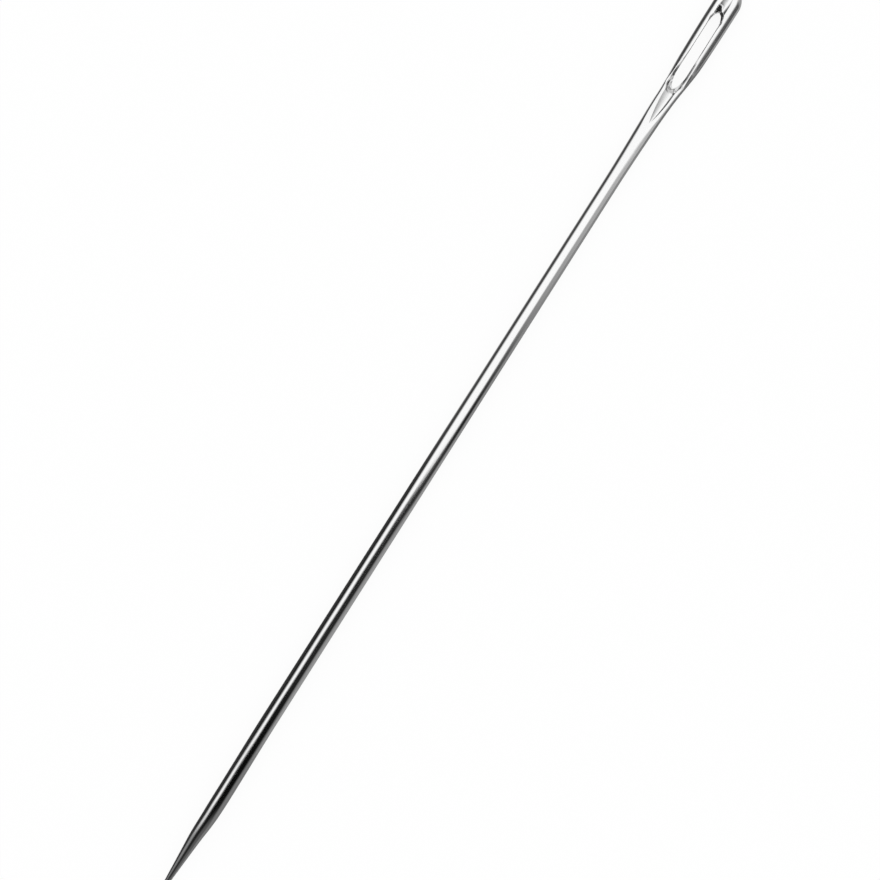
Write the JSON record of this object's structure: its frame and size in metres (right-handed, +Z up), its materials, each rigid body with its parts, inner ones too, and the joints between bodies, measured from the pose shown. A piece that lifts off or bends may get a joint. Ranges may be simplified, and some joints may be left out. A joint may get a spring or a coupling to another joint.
{
  "type": "yarn needle",
  "caption": "Long straight hand needle of polished round wire with a long slotted eye in a pressed flat head and a slim ground point, for sewing with yarn.",
  "frame": {"origin": "on the surface that the needle lies on, under the shank's axis and half way along the needle's length. The head sits 0.26 mm to one side (+Y) of the axis, as in the picture, so the box's middle is that far from the origin along Y", "axes": "+X along the needle from the eye to the point, +Y across the needle in the plane of the flat head, +Z up, square to the head's faces and along the way through the eye"},
  "size_m": [0.127, 0.0033, 0.0018],
  "materials": {
    "nickel_plate": "bright polished nickel plate over steel wire, with faint polishing lines along the needle"
  },
  "bodies": {
    "root": {"head": "nickel_plate", "shank": "nickel_plate"}
  },
  "joints": []
}
